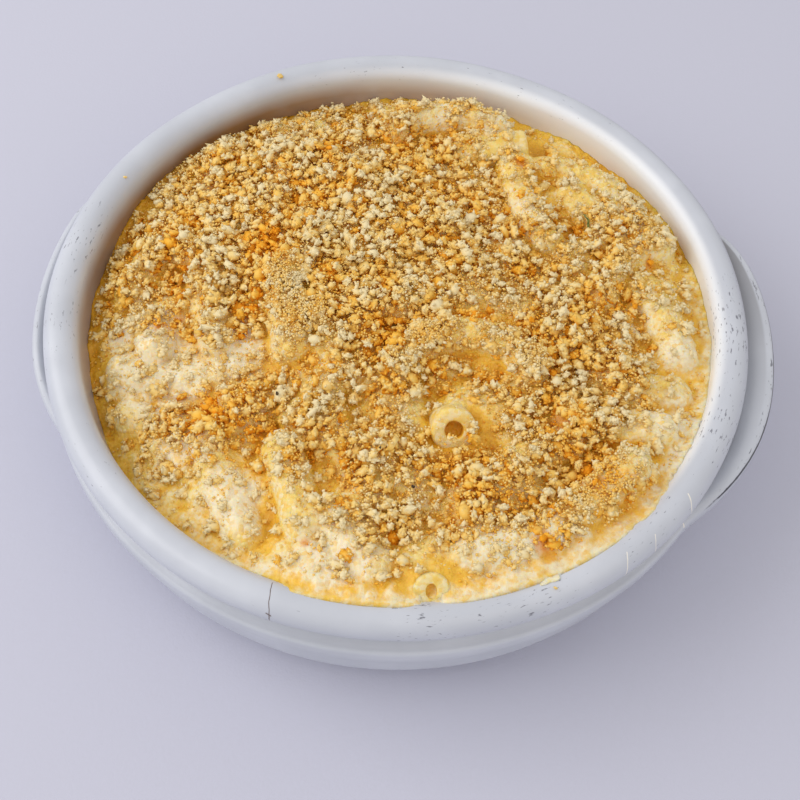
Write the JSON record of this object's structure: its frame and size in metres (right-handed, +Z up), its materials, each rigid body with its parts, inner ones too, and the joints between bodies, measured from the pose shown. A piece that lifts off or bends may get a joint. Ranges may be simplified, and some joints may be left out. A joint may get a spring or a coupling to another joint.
{
  "type": "baked macaroni and cheese in gratin dish",
  "caption": "Round eared stoneware gratin dish filled to the rim with baked elbow macaroni in cheese sauce under toasted crumbs; stands on its flat base.",
  "frame": {"origin": "middle of the dish's flat base", "axes": "+X out through the wider of the dish's two ears; +Y across, to the left of +X seen from above; +Z up out of the dish"},
  "size_m": [0.1603, 0.1512, 0.039],
  "materials": {
    "dish": "white glaze on stoneware, worn along the rim",
    "mac_and_cheese": "pale cheese sauce and toasted crumbs, soft sheen"
  },
  "bodies": {
    "root": {"dish": "dish", "mac_and_cheese": "mac_and_cheese"}
  },
  "joints": []
}
